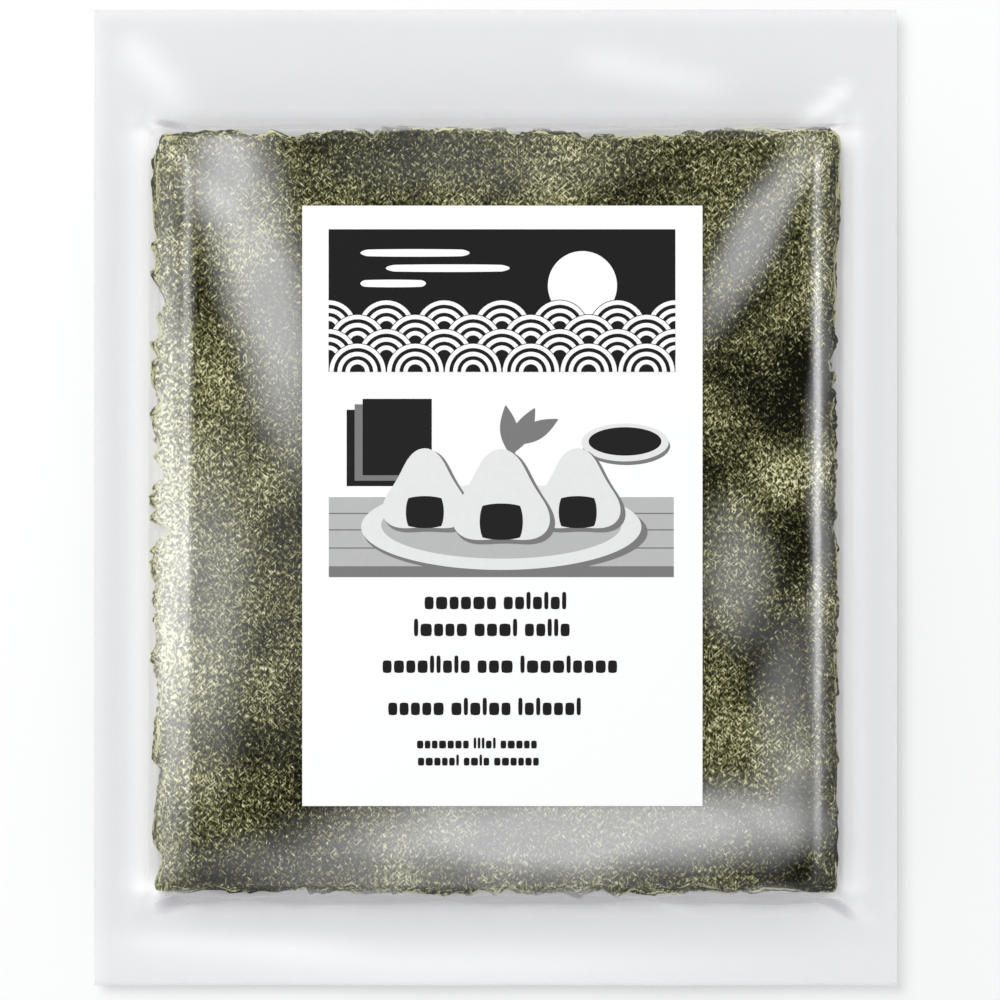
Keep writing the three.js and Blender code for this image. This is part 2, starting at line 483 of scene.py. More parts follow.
def painted_glare(x, y, sheets):
    """Share of painted glare over the sheets, lamp light drawn as white haze: a sum of soft ovals with
    wavering outlines.
    """
    waver_x, waver_y = x + GLARE_WAVER * swell(y), y + GLARE_WAVER * swell(x)
    total = np.zeros_like(x)
    for place_x, place_y, half_length, half_width, turn, share in GLARE_PATCHES:
        c, s = math.cos(math.radians(turn)), math.sin(math.radians(turn))
        aside, ahead = waver_x - place_x * MM, waver_y - place_y * MM
        along, across = ahead * c - aside * s, aside * c + ahead * s
        reach = np.hypot(along / (half_length * MM), across / (half_width * MM))
        total += share * (1 - smooth_step(reach, *GLARE_OUTLINE))
    return np.minimum(total, MOST_GLARE) * (1 - smooth_step(outside(x, y, sheets), *GLARE_END))


def plane_waves(x, y):
    """Sum of waves in random directions, each as steep as the others, so that longer ones are higher."""
    rng = np.random.default_rng(5)
    total = np.zeros_like(x)
    for _ in range(WAVE_COUNT):
        angle, phase = rng.uniform(0, 2 * np.pi, size=2)
        number = 2 * np.pi / rng.uniform(*WAVE_LENGTHS)
        total += np.sin(number * (x * math.cos(angle) + y * math.sin(angle)) + phase) * WAVE_SLOPE / number
    return total


def film_front(x, y, film, sheets):
    """Outer face of the front film, with its creases, slow waves and puckers away from the label."""
    over_stack = 1 - smooth_step(outside(x, y, sheets), *CREASE_END)
    wrinkles = (creases(x, y, CREASES) + plane_waves(x, y)) * over_stack * (1 - label_cover(x, y))
    wrinkles = film.crease_strength * (wrinkles + border_creases(x, y, sheets))
    return front_height(x, y, sheets) + wrinkles + puckers(x, y, sheets)


def border_creases(x, y, sheets):
    """The creases of the border, which both films share there."""
    return creases(x, y, BORDER_CREASES) * smooth_step(outside(x, y, sheets), *BORDER_CREASE_START)


def film_faces(x, y, film, sheets, front):
    """Heights of the upper and lower face of one film. The two films close up to the seal at the border."""
    cling = smooth_step(outside(x, y, sheets), *CLOSING)
    if front:
        apart = film.seal_gap / 2 + BORDER_THICKNESS / 2 * (1 - cling)
        top = film_front(x, y, film, sheets) - BORDER_THICKNESS / 2 + apart
        return top, top - film.thickness
    lift = BORDER_THICKNESS / 2 - film.seal_gap / 2 - film.thickness
    creased = border_creases(x, y, sheets) * film.crease_strength
    bottom = back_height(x, y, sheets) + cling * (creased + lift)
    return bottom + film.thickness, bottom


def film_fields(x, y, film, sheets, front):
    """Fields of one film for its material, each for the upper face and then for the lower one.

    The haze, the painted shade and the gloss are on the outer face alone. The painted glare is split over
    both faces.
    """
    edge = outside(x, y, sheets, CORNER_ROUNDING)
    # Painted highlight beside the stack.
    beside = painted_highlight_band(x, y, sheets)
    # Painted highlight on the border's creases, by their height.
    creased = CREASE_HIGHLIGHT * border_creases(x, y, sheets) / CREASE_HEIGHT
    # The painted highlights together: beside the stack, along the bottom end and on the border's creases.
    white = np.maximum(beside, bottom_highlight(x, y)) + creased
    shine = 1 - DULL_SHARE * smooth_step(edge, *DULLING)
    none = np.zeros_like(x)
    if front:
        foot = smooth_step(edge, *WALL_FOOT)
        hazy = film.milk * foot + film.wall_milk * smooth_step(edge, *WALL_START) * (1 - foot)
        # Painted shadow of the pockets, their tails and the cut edges.
        painted_shade = np.maximum(pocket_shadow(x, y, sheets), cut_edge_shade(x, y))
        share = np.minimum(painted_shade, 1)
        hazy = hazy * (1 - share) + film.pocket_shadow_share * share
        # Painted glare over the sheets, split over the two faces.
        glare = 1 - np.sqrt(1 - painted_glare(x, y, sheets))
    else:
        # The back film's haze grows under the painted highlight beside the stack.
        hazy = film.back_milk * smooth_step(edge, *BACK_START) * (1 + BAND_HAZE * beside)
        painted_shade = glare = none
    outer = {
        "haze_and_painted_light": np.maximum(hazy, glare),
        "painted_shade": POCKET_TONE * painted_shade,
        "beside": white,
        "shine": shine,
    }
    inner = {"haze_and_painted_light": glare, "painted_shade": none, "beside": white, "shine": none}
    faces = (outer, inner) if front else (inner, outer)
    return {key: np.concatenate([face[key].ravel() for face in faces]) for key in outer}


# How far the flat place round the label reaches past it, and the space between the label and the film.
LABEL_SURROUND = 9 * MM
LABEL_GAP = 0.03 * MM


def label_cover(x, y):
    """1 under the label, falling to 0 a few millimetres outside."""
    half = (LABEL_HIGH - LABEL_LOW) / 2
    beyond = np.maximum(np.abs(x - LABEL_MIDDLE[0]) - half[0], np.abs(y - LABEL_MIDDLE[1]) - half[1])
    return 1 - smooth_step(beyond, 0, LABEL_SURROUND)


def label_top(x, y, label, sheets):
    """Upper face of the label, which lies on the front film."""
    return front_height(x, y, sheets) + LABEL_GAP + label.thickness


def stretches(stops, steps):
    """Values that divide each stretch between two stops into a number of even steps."""
    parts = [np.linspace(a, b, n, endpoint=False) for a, b, n in zip(stops[:-1], stops[1:], steps)]
    return np.concatenate(parts + [stops[-1:]])


# Stops of the film's grid outside and inside the edge of the stack, and its steps from the bag's edge
# inwards: the border, the edge of the stack, the shoulder, the flat front and the label.
FILM_STOPS = (-8 * MM, 4 * MM, 13 * MM)
FILM_STEPS_X = (8, 30, 20, 16, 40)
FILM_STEPS_Y = (18, 36, 16, 12, 60)


def film_grid(sheets, coarseness):
    """Grid of places over the whole bag, finest about the edges of the stack."""
    lines = []
    middles, halves = (0, STACK_CENTRE_Y), (sheets.width / 2, sheets.length / 2)
    for axis, steps in enumerate((FILM_STEPS_X, FILM_STEPS_Y)):
        low, high = middles[axis] - halves[axis], middles[axis] + halves[axis]
        stops = [BAG_LOW[axis], *(low + stop for stop in FILM_STOPS), LABEL_LOW[axis]]
        stops += [LABEL_HIGH[axis], *(high - stop for stop in reversed(FILM_STOPS)), BAG_HIGH[axis]]
        counts = [count // coarseness for count in steps + steps[-2::-1]]
        lines.append(stretches(np.array(stops), counts))
    return np.meshgrid(*lines, indexing="ij")


def shell(x, y, top, bottom, ring=False):
    """A closed shell between two heights over a grid of places, as vertices, quads and caps.

    The two faces are joined round their open edges. On a ring the first direction closes on itself, the first
    column is the outline, and the last column is closed by a cap on each face.
    """
    points = np.concatenate([np.stack([x, y, z], axis=-1).reshape(-1, 3) for z in (top, bottom)])
    upper = np.arange(x.size).reshape(x.shape)
    if ring:
        upper = np.vstack([upper, upper[:1]])
    lower = upper + x.size
    faces = [cells(upper), cells(lower)[:, ::-1], wall(upper[:, 0], lower[:, 0])]
    caps = []
    if ring:
        caps = [upper[:-1, -1], lower[:-1, -1][::-1]]
    else:
        faces.append(wall(upper[-1], lower[-1]))
        faces.append(wall(upper[::-1, -1], lower[::-1, -1]))
        faces.append(wall(upper[0, ::-1], lower[0, ::-1]))
    return points, np.concatenate(faces), caps


def cells(grid):
    """The quads of a grid of vertex numbers, anticlockwise from above."""
    corners = [grid[:-1, :-1], grid[1:, :-1], grid[1:, 1:], grid[:-1, 1:]]
    return np.stack(corners, axis=-1).reshape(-1, 4)


def wall(upper, lower):
    """The quads between an edge of the upper grid and the same edge of the lower one."""
    return np.stack([upper[1:], upper[:-1], lower[:-1], lower[1:]], axis=-1)


# Edges that turn more than this stay sharp.
SHARP_ANGLE = math.radians(50)


def make_piece(name, shells, material, attributes=None):
    """Joins shells into one object at the origin, with a material and the body that it rides on."""
    points, loops, sizes, first = [], [], [], 0
    for vertices, quads, caps in shells:
        points.append(vertices)
        loops.append((quads + first).ravel())
        sizes.append(np.full(len(quads), 4))
        for cap in caps:
            loops.append(cap + first)
            sizes.append([len(cap)])
        first += len(vertices)
    points, loops, sizes = (np.concatenate(part) for part in (points, loops, sizes))
    mesh = bpy.data.meshes.new(name)
    mesh.vertices.add(len(points))
    mesh.vertices.foreach_set("co", points.ravel())
    mesh.loops.add(len(loops))
    mesh.loops.foreach_set("vertex_index", loops.astype(np.int32))
    mesh.polygons.add(len(sizes))
    mesh.polygons.foreach_set("loop_start", (np.cumsum(sizes) - sizes).astype(np.int32))
    mesh.update(calc_edges=True)
    for key, values in (attributes or {}).items():
        vector = values.ndim == 2
        made = mesh.attributes.new(key, "FLOAT_VECTOR" if vector else "FLOAT", "POINT")
        made.data.foreach_set("vector" if vector else "value", values.ravel().astype(np.float32))
    if mesh.validate():
        raise RuntimeError(name + " has faulty faces")
    mesh.shade_smooth()
    mesh.set_sharp_from_angle(angle=SHARP_ANGLE)
    mesh.materials.append(material)
    piece = bpy.data.objects.new(name, mesh)
    bpy.context.scene.collection.objects.link(piece)
    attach(piece, BODY)
    return piece


def node(tree, kind, inputs=(), **settings):
    """Adds a node with settings, and fills its inputs with links or values."""
    made = tree.nodes.new(kind)
    for key, value in settings.items():
        setattr(made, key, value)
    for key, value in dict(inputs).items():
        if isinstance(value, bpy.types.NodeSocket):
            tree.links.new(value, made.inputs[key])
        else:
            made.inputs[key].default_value = value
    return made


def new_material(name):
    """An empty node material, its tree and its output node."""
    material = bpy.data.materials.new(name)
    material.use_nodes = True
    material.node_tree.nodes.clear()
    return material, material.node_tree, node(material.node_tree, "ShaderNodeOutputMaterial")


def opaque(colour):
    """A colour setting with full alpha, as a colour socket takes it."""
    return (*colour, 1.0)


def film_material(settings):
    """Cast polypropylene film: clear and glossy, with white haze where it clings to the other, and painted
    glare drawn as white haze over the sheets.

    It gives the eye dark contents under soft pale patches of painted glare, with sharp lights along the
    shoulders, and a white, hazy border with a painted highlight beside the stack and painted shadow along its
    ends. Only a face that is turned to the eye reflects, because the two faces of so thin a film show as one.
    """
    material, tree, output = new_material("Cast polypropylene film, clear")
    # Share of haze: the film's own, the painted glare, and the haze that carries the painted shadow and
    # highlight.
    haze_and_painted_light = node(tree, "ShaderNodeAttribute", attribute_name="haze_and_painted_light").outputs["Fac"]
    clear = node(tree, "ShaderNodeBsdfTransparent", {"Color": opaque(settings.tint)})
    gloss = node(
        tree,
        "ShaderNodeBsdfGlossy",
        {"Color": opaque(linear("#ffffff")), "Roughness": settings.roughness},
        distribution="BECKMANN",
    )
    mirror = node(tree, "ShaderNodeFresnel", {"IOR": settings.ior}).outputs[0]
    inner = node(tree, "ShaderNodeNewGeometry").outputs["Backfacing"]
    outer = node(tree, "ShaderNodeMath", {0: 1.0, 1: inner}, operation="SUBTRACT").outputs[0]
    bare = node(tree, "ShaderNodeAttribute", attribute_name="shine").outputs["Fac"]
    shine = node(tree, "ShaderNodeMath", {0: mirror, 1: outer}, operation="MULTIPLY").outputs[0]
    shine = node(tree, "ShaderNodeMath", {0: shine, 1: bare}, operation="MULTIPLY").outputs[0]
    skin = node(tree, "ShaderNodeMixShader", {"Fac": shine, 1: clear.outputs[0], 2: gloss.outputs[0]})
    painted_shade = node(tree, "ShaderNodeAttribute", attribute_name="painted_shade").outputs["Fac"]
    beside = node(tree, "ShaderNodeAttribute", attribute_name="beside").outputs["Fac"]
    tone = opaque(settings.haze)
    # Mixes the painted highlight into the haze tone, then the painted shadow of the pockets, tails and cut
    # edges.
    for share, other in ((beside, settings.bright), (painted_shade, settings.shade)):
        tone = node(
            tree, "ShaderNodeMix", {"Factor": share, "A": tone, "B": opaque(other)}, data_type="RGBA"
        ).outputs["Result"]
    front = node(tree, "ShaderNodeBsdfDiffuse", {"Color": tone})
    through = node(tree, "ShaderNodeBsdfTranslucent", {"Color": tone})
    haze = node(
        tree, "ShaderNodeMixShader", {"Fac": HAZE_THROUGH, 1: front.outputs[0], 2: through.outputs[0]}
    )
    body = node(tree, "ShaderNodeMixShader", {"Fac": haze_and_painted_light, 1: skin.outputs[0], 2: haze.outputs[0]})
    tree.links.new(body.outputs[0], output.inputs["Surface"])
    return material


# Layers of fibre flecks in a sheet: turn in degrees, length and width in millimetres.
FLECKS = ((42, 2.3, 0.43), (-44, 2.1, 0.43), (88, 1.4, 0.42))

# Sizes of the grain of a sheet and of its slow patches.
GRAIN = 1.1 * MM
PATCH = 24 * MM

# What the slow patches and the thin places, with the painted light among them, add to the felt of a sheet.
PATCH_FELT = 0.6
THIN_FELT = 0.14

# What they add to the level of its fibres, and how much the grain gathers the fibres in a dense and in a
# thin place.
PATCH_RANGE = (0.3, 0.7)
PATCH_LEVEL = 0.075
THIN_LEVEL = 0.07
THIN_MOST = 2.0
GRAIN_CLUSTERS = (0.3, 1.1)

# Tones laid over the dark of a sheet in turn: the field that masks each, and where the mask starts and is
# full. The fleck tone carries painted sheen, and the glint tone is a painted glint.
NORI_TONES = {
    "olive": ("felt", 0.62, 1.0),
    "fleck_and_sheen": ("level", 0.59, 0.73),
    "painted_glint": ("level", 0.71, 0.85),
    "rim": ("torn", 0.33, 0.58),
}

# Sizes of the mottle and of the fibres of paper.
MOTTLE = 1.6 * MM
PAPER_FIBRE = 0.25 * MM


def flecks(tree, place):
    """Short fibres lying several ways: the greatest of three noises, each stretched along its own way."""
    best = None
    for turn, length, width in FLECKS:
        stretched = node(
            tree,
            "ShaderNodeMapping",
            {"Vector": place, "Rotation": (0, 0, math.radians(turn)), "Scale": (length * MM, width * MM, 1)},
            vector_type="TEXTURE",
        )
        noise = node(
            tree,
            "ShaderNodeTexNoise",
            {"Vector": stretched.outputs[0], "Scale": 1.0, "Detail": 1.0},
            noise_dimensions="2D",
        ).outputs["Fac"]
        if best is not None:
            noise = node(tree, "ShaderNodeMath", {0: best, 1: noise}, operation="MAXIMUM").outputs[0]
        best = noise
    return best


def nori_material(settings):
    """Pressed and roasted laver: dry, matt and dark olive, matted from short blades with pale shining fibres.

    It gives the eye a felt of fine flecks over near-black gaps, in slow patches, with a thin pale torn edge.
    The shine of the pale fibres is painted sheen and painted glints, and the thin places carry painted light
    along the left edge of the stack and in a cluster at the right.
    """
    material, tree, output = new_material("Pressed roasted laver")
    place = node(tree, "ShaderNodeAttribute", attribute_name="flat").outputs["Vector"]
    rim = node(tree, "ShaderNodeAttribute", attribute_name="rim").outputs["Fac"]
    thin = node(tree, "ShaderNodeAttribute", attribute_name="thin").outputs["Fac"]
    grain, patch = (
        node(
            tree,
            "ShaderNodeTexNoise",
            {"Vector": place, "Scale": 1 / size, "Detail": 4.0},
            noise_dimensions="2D",
        ).outputs["Fac"]
        for size in (GRAIN, PATCH)
    )
    felt = grain
    for share, amount in ((patch, PATCH_FELT), (thin, THIN_FELT)):
        felt = node(
            tree, "ShaderNodeMath", {0: share, 1: amount, 2: felt}, operation="MULTIPLY_ADD"
        ).outputs[0]
    drift = node(
        tree,
        "ShaderNodeMapRange",
        {
            "Value": patch,
            "From Min": PATCH_RANGE[0],
            "From Max": PATCH_RANGE[1],
            "To Min": -PATCH_LEVEL,
            "To Max": PATCH_LEVEL,
        },
    ).outputs[0]
    cluster = node(
        tree,
        "ShaderNodeMapRange",
        {"Value": thin, "From Max": THIN_MOST, "To Min": GRAIN_CLUSTERS[0], "To Max": GRAIN_CLUSTERS[1]},
    ).outputs[0]
    centred = node(tree, "ShaderNodeMath", {0: grain, 1: 0.5}, operation="SUBTRACT").outputs[0]
    level = node(tree, "ShaderNodeMath", {0: flecks(tree, place), 1: drift}, operation="ADD").outputs[0]
    for share, amount in ((centred, cluster), (thin, THIN_LEVEL)):
        level = node(
            tree, "ShaderNodeMath", {0: share, 1: amount, 2: level}, operation="MULTIPLY_ADD"
        ).outputs[0]
    torn = node(tree, "ShaderNodeMath", {0: rim, 1: level}, operation="MULTIPLY").outputs[0]
    fields = {"felt": felt, "level": level, "torn": torn}
    colour = opaque(settings.dark)
    for tone, (field, low, high) in NORI_TONES.items():
        share = node(tree, "ShaderNodeMapRange", {"Value": fields[field], "From Min": low, "From Max": high})
        colour = node(
            tree,
            "ShaderNodeMix",
            {"Factor": share.outputs[0], "A": colour, "B": opaque(getattr(settings, tone))},
            data_type="RGBA",
        ).outputs["Result"]
    relief = node(tree, "ShaderNodeBump", {"Height": grain, "Strength": 0.6, "Distance": 0.3 * MM})
    shader = node(
        tree,
        "ShaderNodeBsdfPrincipled",
        {"Base Color": colour, "Roughness": 0.55, "Specular IOR Level": 0.03, "Normal": relief.outputs[0]},
    )
    tree.links.new(shader.outputs[0], output.inputs["Surface"])
    return material


def printed_material(name, colour, roughness, mottle):
    """Coated paper, bare or under a flat layer of offset ink: smooth and even.

    It gives the eye a flat tone with a faint mottle and a fine fibre relief.
    """
    material, tree, output = new_material(name)
    place = node(tree, "ShaderNodeTexCoord").outputs["Object"]
    cloud = node(tree, "ShaderNodeTexNoise", {"Vector": place, "Scale": 1 / MOTTLE, "Detail": 4.0})
    level = node(
        tree,
        "ShaderNodeMapRange",
        {"Value": cloud.outputs["Fac"], "To Min": 1 - mottle, "To Max": 1 + mottle},
    )
    shade = node(tree, "ShaderNodeVectorMath", {0: colour, 1: level.outputs[0]}, operation="MULTIPLY")
    fibre = node(tree, "ShaderNodeTexNoise", {"Vector": place, "Scale": 1 / PAPER_FIBRE, "Detail": 2.0})
    relief = node(
        tree,
        "ShaderNodeBump",
        {"Height": fibre.outputs["Fac"], "Strength": 0.15, "Distance": 0.01 * MM},
    )
    shader = node(
        tree,
        "ShaderNodeBsdfPrincipled",
        {
            "Base Color": shade.outputs[0],
            "Roughness": roughness,
            "Specular IOR Level": 0.03,
            "Normal": relief.outputs[0],
        },
    )
    tree.links.new(shader.outputs[0], output.inputs["Surface"])
    return material


def smooth_noise(rng, count, waves):
    """Random values round a closed line with no more than about the given number of waves, of unit spread."""
    spectrum = np.fft.rfft(rng.normal(size=count))
    spectrum *= bell(np.arange(len(spectrum)) / waves)
    spectrum[0] = 0
    noise = np.fft.irfft(spectrum, count)
    return noise / noise.std()


# The uneven edge that all sheets share: its points, and the size and length of its lumps, bits and slow
# drift.
SHARED_POINTS = 4000
LUMP_SIZE, LUMP_LENGTH = 1.2 * MM, 13 * MM
BIT_SIZE, BIT_LENGTH = 0.35 * MM, 3.5 * MM
DRIFT_SIZE, DRIFT_LENGTH = 0.4 * MM, 60 * MM

# How far the lumps stand out, how their size varies along the edge and the least of it, and how much larger
# lumps and bits are at the left than at the right.
LUMP_CREST = 0.8
LUMP_CHANGE, LUMP_CHANGE_LENGTH, LUMP_LEAST = 0.5, 40 * MM, 0.15
LEFT_MEAN, LEFT_SWING = 0.7, 0.4
BIT_BASE = 0.4

# Torn corners of the sheets: side, end and mean depth of the tear in millimetres. Then the slant of a tear
# in degrees and the share of its mean depth, both drawn for each sheet, and a least value that keeps the
# directions along a tear from dividing by zero.
TORN_CORNERS = ((1, 1, 1.8), (-1, 1, 4.4), (-1, -1, 1.4), (1, -1, 0.8))
TEAR_SLANTS = (33, 57)
TEAR_DEPTHS = (0.3, 1.7)
LEAST_FACING = 0.1

# Length and size of the waves in a single sheet's outline, in millimetres.
OUTLINE_WAVES = ((30, 0.25), (7, 0.2), (2.6, 0.25))

# How far the upper sheets are drawn in and from which share of the height, what is added to the length of
# all, the spread of their turn in radians and of their shift, and how far the stack leans to one side.
TUCK = 0.8 * MM
TUCK_START = 0.6
EXTRA_LENGTH = 1.6 * MM
SHEET_TURN = 0.0022
SHEET_SHIFT = 0.4 * MM
STACK_LEAN = np.array([-0.4, -0.3]) * MM

# Half a sheet's thickness as a share of its place in the stack, and the step of the fibre pattern between
# sheets.
SHEET_HALF = 0.32
PATTERN_STEP = (0.31, 0.17)

# The pale torn edge of a sheet: its depth, the length over which it comes and goes, and where it starts and
# is full.
RIM_DEPTH = 0.7 * MM
RIM_LENGTH = 9 * MM
RIM_RANGE = (-1, 1.2)


def stack_tears(around):
    """Uneven edge that all sheets share: rounded lumps, deepest at the left, with sharp notches between."""
    rng = np.random.default_rng(3)
    lumps = LUMP_CREST - np.abs(smooth_noise(rng, SHARED_POINTS, around / LUMP_LENGTH))
    bits = BIT_SIZE * smooth_noise(rng, SHARED_POINTS, around / BIT_LENGTH)
    drift = DRIFT_SIZE * smooth_noise(rng, SHARED_POINTS, around / DRIFT_LENGTH)
    change = 1 + LUMP_CHANGE * smooth_noise(rng, SHARED_POINTS, around / LUMP_CHANGE_LENGTH)
    left = LEFT_MEAN - LEFT_SWING * np.cos(np.linspace(0, 2 * np.pi, SHARED_POINTS, endpoint=False))
    lumps = LUMP_SIZE * lumps * left * np.maximum(change, LUMP_LEAST)
    return lumps + bits * (BIT_BASE + (1 - BIT_BASE) * left) + drift


def tear_at(angle, shared):
    """The shared tear in a direction from the middle of the stack."""
    return np.interp(angle, np.linspace(0, 2 * np.pi, len(shared) + 1), np.append(shared, shared[0]))


def torn_outline(rng, count, width, length, shared):
    """A sheet's outline in polar form.

    It is a rectangle whose corners are torn off along short lines, moved in and out by the shared tears of
    the stack and by noise of those lengths that the number of points can show.
    """
    angle = np.linspace(0, 2 * np.pi, count, endpoint=False)
    c, s = np.cos(angle), np.sin(angle)
    radius = 1 / np.maximum(np.abs(c) * 2 / width, np.abs(s) * 2 / length)
    for side, end, depth in TORN_CORNERS:
        slant = math.radians(rng.uniform(*TEAR_SLANTS))
        depth = depth * MM * rng.uniform(*TEAR_DEPTHS)
        far = width / 2 * math.cos(slant) + length / 2 * math.sin(slant) - depth
        facing = c * side * math.cos(slant) + s * end * math.sin(slant)
        radius = np.minimum(radius, far / np.maximum(facing, LEAST_FACING))
    around = 2 * (width + length)
    tear = tear_at(angle, shared)
    for wave, size in OUTLINE_WAVES:
        if wave * MM * count > 2 * around:
            tear += size * MM * smooth_noise(rng, count, around / (wave * MM))
    radius = radius + tear
    return radius * c, radius * s


# Thin and dense places of the sheets, with more and with fewer pale fibres: middle and reaches in
# millimetres, and share. The first two are painted light: brighter fibres along the left edge of the stack,
# where the film's wall catches light, and a cluster of painted glints at the right.
THIN_AND_LIT_PLACES = (
    (-92, -10, 7, 66, 2.1),
    (80, 5, 9, 8, 1.5),
    (-62, -52, 26, 26, 0.2),
    (80, 32, 17, 17, -1.3),
    (78, -19, 15, 15, -1.5),
    (70, -52, 16, 16, -0.5),
    (88, -100, 20, 20, -1.6),
    (-60, -102, 22, 22, -0.8),
)


def thin_and_lit_places(x, y):
    """Sum of soft ovals, each with its share in its middle, above zero where a sheet is thin or carries
    painted light.
    """
    total = np.zeros_like(x)
    for place_x, place_y, reach_x, reach_y, share in THIN_AND_LIT_PLACES:
        total += share * bell(np.hypot((x / MM - place_x) / reach_x, (y / MM - place_y) / reach_y))
    return total


def sheet_shell(rng, layer, fraction, rings, short, pale, shared, sheets):
    """One sheet between the films: rings drawn in from a torn outline, at its share of the stack's height.

    It ends a little short of the full size, and the upper sheets shorter. Returns the shell and its fields:
    flat coordinates before bending, paleness of the torn edge, which comes and goes along it, and thin places
    with the painted light among them.
    """
    count, insets = rings[0], np.array(rings[1]) * MM
    trim = 2 * (TUCK * smooth_step(fraction, TUCK_START, 1) + short)
    outline = torn_outline(rng, count, sheets.width - trim, sheets.length - trim + EXTRA_LENGTH, shared)
    turn = rng.normal() * SHEET_TURN
    shift = rng.normal(size=2) * SHEET_SHIFT + STACK_LEAN * (1 - 2 * fraction)
    x, y = (np.outer(line, 1 - insets / (sheets.width / 2)) for line in outline)
    flat = np.stack([x + layer * PATTERN_STEP[0], y + layer * PATTERN_STEP[1], np.zeros_like(x)], axis=-1)
    x, y = x - turn * y + shift[0], y + turn * x + shift[1] + STACK_CENTRE_Y
    low = back_height(x, y, sheets) + sheets.gap
    high = front_height(x, y, sheets) - sheets.gap
    z = low + fraction * (high - low)
    half = SHEET_HALF * (high - low) / sheets.count
    around = 2 * (sheets.width + sheets.length)
    broken = smooth_noise(np.random.default_rng(layer), count, around / RIM_LENGTH)
    rim = np.outer(pale * smooth_step(broken, *RIM_RANGE), np.exp(-insets / RIM_DEPTH))
    fields = {"flat": flat.reshape(-1, 3), "rim": rim.ravel(), "thin": thin_and_lit_places(x, y).ravel()}
    fields = {key: np.concatenate([values] * 2) for key, values in fields.items()}
    return shell(x, y, z + half, z - half, ring=True), fields


def disc(half_x, half_y, steps=24):
    """A grid on an ellipse: the square from -1 to 1 pressed into a circle by the elliptical map."""
    u, v = np.meshgrid(np.linspace(-1, 1, steps + 1), np.linspace(-1, 1, steps + 1), indexing="ij")
    return half_x * u * np.sqrt(1 - v * v / 2), half_y * v * np.sqrt(1 - u * u / 2)


def rectangle(width, height, steps_x=8, steps_y=8):
    """A grid on a rectangle about the origin."""
    x = np.linspace(-width / 2, width / 2, steps_x + 1)
    y = np.linspace(-height / 2, height / 2, steps_y + 1)
    return np.meshgrid(x, y, indexing="ij")


def arc_band(radius, band, start, end, steps=24):
    """A grid on a band of a circle, from one angle to another, anticlockwise in degrees."""
    angle = np.radians(np.linspace(end, start, steps + 1))
    angle, r = np.meshgrid(angle, np.array([radius - band / 2, radius + band / 2]), indexing="ij")
    return r * np.cos(angle), r * np.sin(angle)


# How far the three corners of a soft triangle stand out and how pointed they are, the share of a square in
# a soft block, and the share of its step that a layer of ink is thick.
TRIANGLE_CORNERS = 0.19
TRIANGLE_POINTS = 0.02
BLOCK_SQUARE = 0.55
INK_SHARE = 0.8


def rounded_triangle(size, steps=20):
    """A grid on a soft triangle, point up: a disc whose radius grows at three corners."""
    x, y = disc(1, 1, steps)
    angle = np.arctan2(y, x) - np.pi / 2
    radius = 1 + TRIANGLE_CORNERS * np.cos(3 * angle) + TRIANGLE_POINTS * np.cos(6 * angle)
    return size * radius * x, size * radius * y


def ink(patch, centre, layer, label, sheets):
    """A patch of print as a thin closed shell on the label, at a place in millimetres from its middle.

    It lies a number of layers above the paper.
    """
    x = patch[0] + centre[0] * MM + LABEL_MIDDLE[0]
    y = patch[1] + centre[1] * MM + LABEL_MIDDLE[1]
    z = label_top(x, y, label, sheets) + layer * label.ink_step
    return shell(x, y, z, z - INK_SHARE * label.ink_step)


# Layers of print: the panel and the blocks, what is in the panel's sky, and the first row of its waves.
PRINT_LAYER = 1
SKY_LAYER = 2
FAN_LAYER = 3

# Places on the label in millimetres from its middle: the dark panel and the picture.
PANEL_CENTRE = (-0.1, 56.4)
PANEL_SIZE = (95.3, 39.2)
PICTURE_CENTRE = (-0.3, 7.4)
PICTURE_WIDTH = 94.8

# Fans of the wave pattern: how many in a row, rows, how far a row that is covered reaches below its middle
# in degrees, middle and width of the dark ground, and middles and width of the arcs, as shares of a fan's
# radius.
FANS = 6
FAN_ROWS = 4
FAN_BELOW = 30
FAN_GROUND = (0.52, 0.96)
FAN_ARCS = (0.9, 0.62, 0.34)
FAN_ARC_WIDTH = 0.15

# The sun of the panel, its place and radius, and bands of mist, their places and widths, and their height.
SUN = (22, 60.5, 9.5)
MIST = ((-24, 69.5, 30), (-15, 65.3, 34), (-30, 61.1, 18))
MIST_HEIGHT = 2.1

# Lines of print: place along y, middle along x, height in millimetres, and the number of blocks in each
# group.
PRINT_LINES = (
    (-26.7, -1.9, 3.5, (6, 7)),
    (-34.1, -2.9, 3.5, (5, 4, 5)),
    (-44.2, -0.7, 3.5, (9, 3, 9)),
    (-55.8, -4.9, 3.5, (5, 6, 7)),
    (-65.6, -7.0, 2.2, (7, 5, 5)),
    (-70.3, -6.6, 2.2, (6, 4, 6)),
)

# Widths of the blocks and how often each comes, the spaces between blocks and between groups, and the
# height of a narrow block and the width up to which a block is narrow, all as shares of the height of the
# line.
BLOCK_WIDTHS = (0.34, 0.72, 0.8, 0.9)
BLOCK_CHANCES = (0.25, 0.3, 0.25, 0.2)
BLOCK_SPACE = 0.17
GROUP_SPACE = 0.6
NARROW_HEIGHT = 1.38
NARROW_WIDTH = 0.5


def rounded_block(width, height, steps=6):
    """A grid on a rectangle with soft corners: about half way between a square and a disc."""
    square, round_form = rectangle(width, height, steps, steps), disc(width / 2, height / 2, steps)
    return tuple(BLOCK_SQUARE * a + (1 - BLOCK_SQUARE) * b for a, b in zip(square, round_form))


